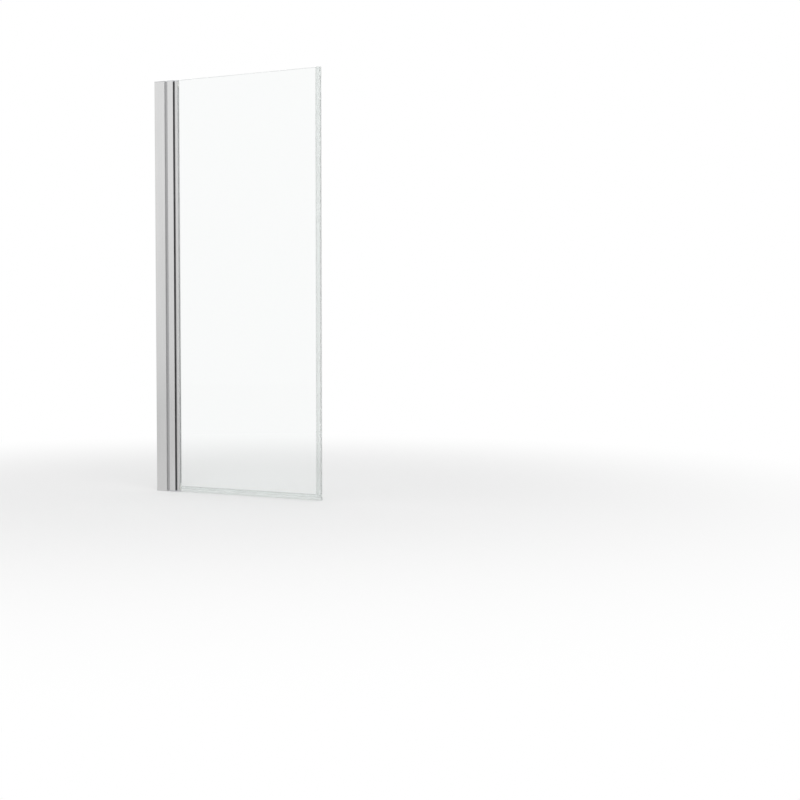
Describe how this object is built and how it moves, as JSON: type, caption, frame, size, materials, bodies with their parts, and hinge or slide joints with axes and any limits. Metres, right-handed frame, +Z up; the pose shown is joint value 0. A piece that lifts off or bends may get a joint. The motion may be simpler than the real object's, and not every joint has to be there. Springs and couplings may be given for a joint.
{
  "type": "bath screen",
  "caption": "Pivoting bath screen: a clear glass panel swings on a slim upright that slides in a bright wall channel, with clear edge and bottom seals.",
  "frame": {"origin": "on the wall face of the channel, at its lower end on the bath's rim, in the screen's middle plane", "axes": "+X from the wall to the panel's free edge, +Y into the bath, +Z up"},
  "size_m": [0.69, 0.0294, 1.5],
  "materials": {
    "bright_aluminium": "bright polished and anodised extrusion",
    "chromed_casting": "chromed zinc casting",
    "stainless_steel": "plain turned steel",
    "grey_plastic": "moulded, silver grey",
    "white_acetal": "natural white, low friction",
    "dark_seal": "soft, satin",
    "clear_pvc": "clear flexible extrusion",
    "clear_glass": "clear toughened glass with ground edges"
  },
  "bodies": {
    "wall_side": {"wall_channel": "bright_aluminium", "channel_cap": "grey_plastic", "adjusting_screws": "stainless_steel", "clamp_nuts": "stainless_steel", "screw_covers": "grey_plastic"},
    "upright": {"hinge_post": "bright_aluminium", "pivot_plate_top": "chromed_casting", "pivot_plate_bottom": "chromed_casting", "pivot_pin_top": "stainless_steel", "pivot_pin_bottom": "stainless_steel", "plate_screws_top": "stainless_steel", "plate_screws_bottom": "stainless_steel", "hinge_seal": "dark_seal", "thrust_washer_bottom": "white_acetal"},
    "panel": {"glass_clamp": "bright_aluminium", "glass_panel": "clear_glass", "glazing_gasket": "clear_pvc", "pivot_insert_top": "white_acetal", "pivot_insert_bottom": "white_acetal", "insert_screws": "stainless_steel", "thrust_washer_top": "white_acetal", "edge_strip": "clear_pvc", "bottom_seal": "clear_pvc"}
  },
  "joints": [
    {"name": "width_adjustment", "type": "slide", "parent": "wall_side", "child": "upright", "axis": [1, 0, 0], "range_m": [-0.01, 0.01]},
    {"name": "panel_swing", "type": "hinge", "parent": "upright", "child": "panel", "pos_m": [0.092, 0, 0.75], "axis": [0, 0, 1], "range_deg": [-90, 90]}
  ]
}
